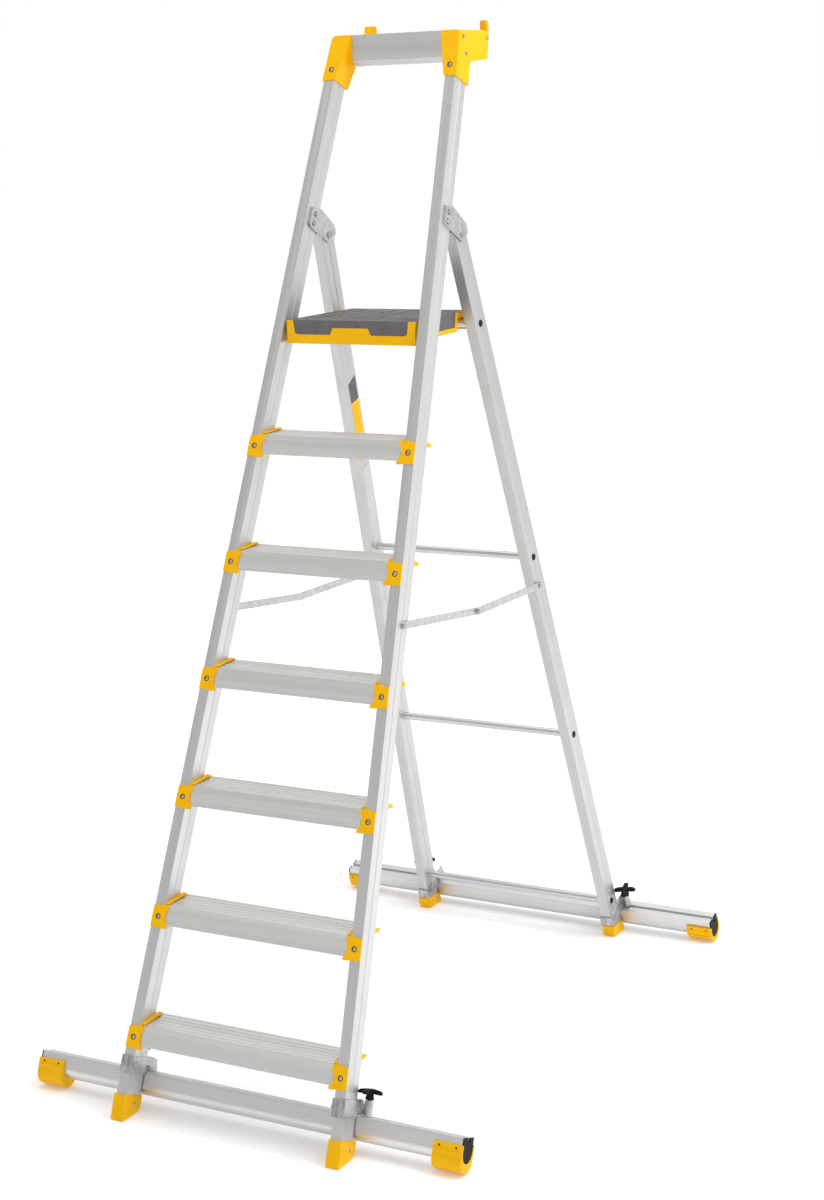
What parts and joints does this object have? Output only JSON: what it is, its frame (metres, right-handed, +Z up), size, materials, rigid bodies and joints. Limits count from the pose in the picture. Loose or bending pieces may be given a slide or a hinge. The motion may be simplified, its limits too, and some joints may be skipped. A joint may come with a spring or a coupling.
{
  "type": "step ladder",
  "caption": "Free-standing aluminium step ladder with treads, a platform, a tool tray, folding rear frame and clamp-on stabiliser bars.",
  "frame": {"origin": "on the floor, in the middle of the footprint's bounding box", "axes": "+Z up, +X to the right of a user facing the treads, -Y towards the front feet"},
  "size_m": [1.048, 1.4949, 2.258],
  "materials": {
    "stile_aluminium": "satin, extruded",
    "tread_aluminium": "satin, extruded, ribbed",
    "tray_aluminium": "satin, extruded",
    "crossbar_tube": "satin tube",
    "bar_aluminium": "satin, extruded",
    "yellow_plastic": "moulded, semi-gloss",
    "black_plastic": "moulded, matt",
    "deck_plastic": "moulded, textured",
    "zinc_steel": "zinc plated",
    "bright_steel": "bright zinc plated"
  },
  "bodies": {
    "front_frame": {"front_stile_left": "stile_aluminium", "front_stile_right": "stile_aluminium", "tread_1": "tread_aluminium", "tread_2": "tread_aluminium", "tread_3": "tread_aluminium", "tread_4": "tread_aluminium", "tread_5": "tread_aluminium", "tread_6": "tread_aluminium", "step_clips_left": "yellow_plastic", "step_clips_right": "yellow_plastic", "front_rivets": "bright_steel", "top_cap_left": "yellow_plastic", "top_cap_right": "yellow_plastic", "tool_tray": "tray_aluminium", "tray_screws": "bright_steel", "hinge_plates_outer": "zinc_steel", "hinge_plates_inner": "zinc_steel", "hinge_rivets": "bright_steel", "hinge_bolts": "bright_steel", "front_foot_left": "yellow_plastic", "front_foot_right": "yellow_plastic", "spreader_pivots_front": "bright_steel", "front_clamp_left": "zinc_steel", "front_clamp_right": "zinc_steel", "front_clamp_bolts": "bright_steel", "platform_pins": "bright_steel"},
    "rear_frame": {"rear_stile_left": "stile_aluminium", "rear_stile_right": "stile_aluminium", "crossbar_1": "crossbar_tube", "crossbar_2": "crossbar_tube", "crossbar_3": "crossbar_tube", "crossbar_4": "crossbar_tube", "crossbar_plugs": "black_plastic", "rear_foot_left": "yellow_plastic", "rear_foot_right": "yellow_plastic", "rear_rivets": "bright_steel", "spreader_pivots_rear": "bright_steel", "rear_clamp_left": "zinc_steel", "rear_clamp_right": "zinc_steel", "rear_clamp_bolts": "bright_steel"},
    "platform": {"platform_frame": "yellow_plastic", "platform_deck": "deck_plastic"},
    "spreader_front_left": {"spreader_front_left": "zinc_steel", "spreader_rivet_left": "bright_steel"},
    "spreader_rear_left": {"spreader_rear_left": "zinc_steel"},
    "spreader_front_right": {"spreader_front_right": "zinc_steel", "spreader_rivet_right": "bright_steel"},
    "spreader_rear_right": {"spreader_rear_right": "zinc_steel"},
    "front_bar": {"front_bar": "bar_aluminium", "front_bar_shoes": "yellow_plastic", "front_bar_caps": "black_plastic"},
    "front_knob_left": {"front_knob_left": "black_plastic"},
    "front_knob_right": {"front_knob_right": "black_plastic"},
    "rear_bar": {"rear_bar": "bar_aluminium", "rear_bar_shoes": "yellow_plastic", "rear_bar_caps": "black_plastic"},
    "rear_knob_left": {"rear_knob_left": "black_plastic"},
    "rear_knob_right": {"rear_knob_right": "black_plastic"}
  },
  "joints": [
    {"name": "rear_frame_fold", "type": "hinge", "parent": "front_frame", "child": "rear_frame", "pos_m": [0, 0.10247, 1.80321], "axis": [-1, 0, 0], "range_deg": [0, 38.4]},
    {"name": "platform_tip", "type": "hinge", "parent": "front_frame", "child": "platform", "pos_m": [0, -0.052, 1.604], "axis": [1, 0, 0], "range_deg": [0, 66.5]},
    {"name": "spreader_front_left_fold", "type": "hinge", "parent": "front_frame", "child": "spreader_front_left", "pos_m": [0, -0.29884, 1.02112], "axis": [1, 0, 0], "range_deg": [0, 58]},
    {"name": "spreader_rear_left_fold", "type": "hinge", "parent": "rear_frame", "child": "spreader_rear_left", "pos_m": [0, 0.35563, 0.97209], "axis": [-1, 0, 0], "range_deg": [0, 75]},
    {"name": "spreader_front_right_fold", "type": "hinge", "parent": "front_frame", "child": "spreader_front_right", "pos_m": [0, -0.29884, 1.02112], "axis": [1, 0, 0], "range_deg": [0, 58]},
    {"name": "spreader_rear_right_fold", "type": "hinge", "parent": "rear_frame", "child": "spreader_rear_right", "pos_m": [0, 0.35563, 0.97209], "axis": [-1, 0, 0], "range_deg": [0, 75]},
    {"name": "front_bar_slide", "type": "slide", "parent": "front_frame", "child": "front_bar", "axis": [1, 0, 0], "range_m": [-0.12, 0.12]},
    {"name": "front_knob_left_turn", "type": "hinge", "parent": "front_frame", "child": "front_knob_left", "pos_m": [-0.28902, -0.63446, 0.08351], "axis": [0.0495, 0.3806, 0.9234], "range_deg": [0, 360]},
    {"name": "front_knob_right_turn", "type": "hinge", "parent": "front_frame", "child": "front_knob_right", "pos_m": [0.28902, -0.63446, 0.08351], "axis": [-0.0495, 0.3806, 0.9234], "range_deg": [0, 360]},
    {"name": "rear_bar_slide", "type": "slide", "parent": "rear_frame", "child": "rear_bar", "axis": [1, 0, 0], "range_m": [-0.12, 0.12]},
    {"name": "rear_knob_left_turn", "type": "hinge", "parent": "rear_frame", "child": "rear_knob_left", "pos_m": [-0.29118, 0.70359, 0.07362], "axis": [0.0518, -0.302, 0.9519], "range_deg": [0, 360]},
    {"name": "rear_knob_right_turn", "type": "hinge", "parent": "rear_frame", "child": "rear_knob_right", "pos_m": [0.29118, 0.70359, 0.07362], "axis": [-0.0518, -0.302, 0.9519], "range_deg": [0, 360]}
  ],
  "couplings": [
    {"joint": "platform_tip", "follows": "rear_frame_fold", "ratio": 1.7188},
    {"joint": "spreader_front_left_fold", "follows": "rear_frame_fold", "ratio": 1.5058},
    {"joint": "spreader_rear_left_fold", "follows": "rear_frame_fold", "ratio": 1.9484},
    {"joint": "spreader_front_right_fold", "follows": "rear_frame_fold", "ratio": 1.5058},
    {"joint": "spreader_rear_right_fold", "follows": "rear_frame_fold", "ratio": 1.9484}
  ]
}
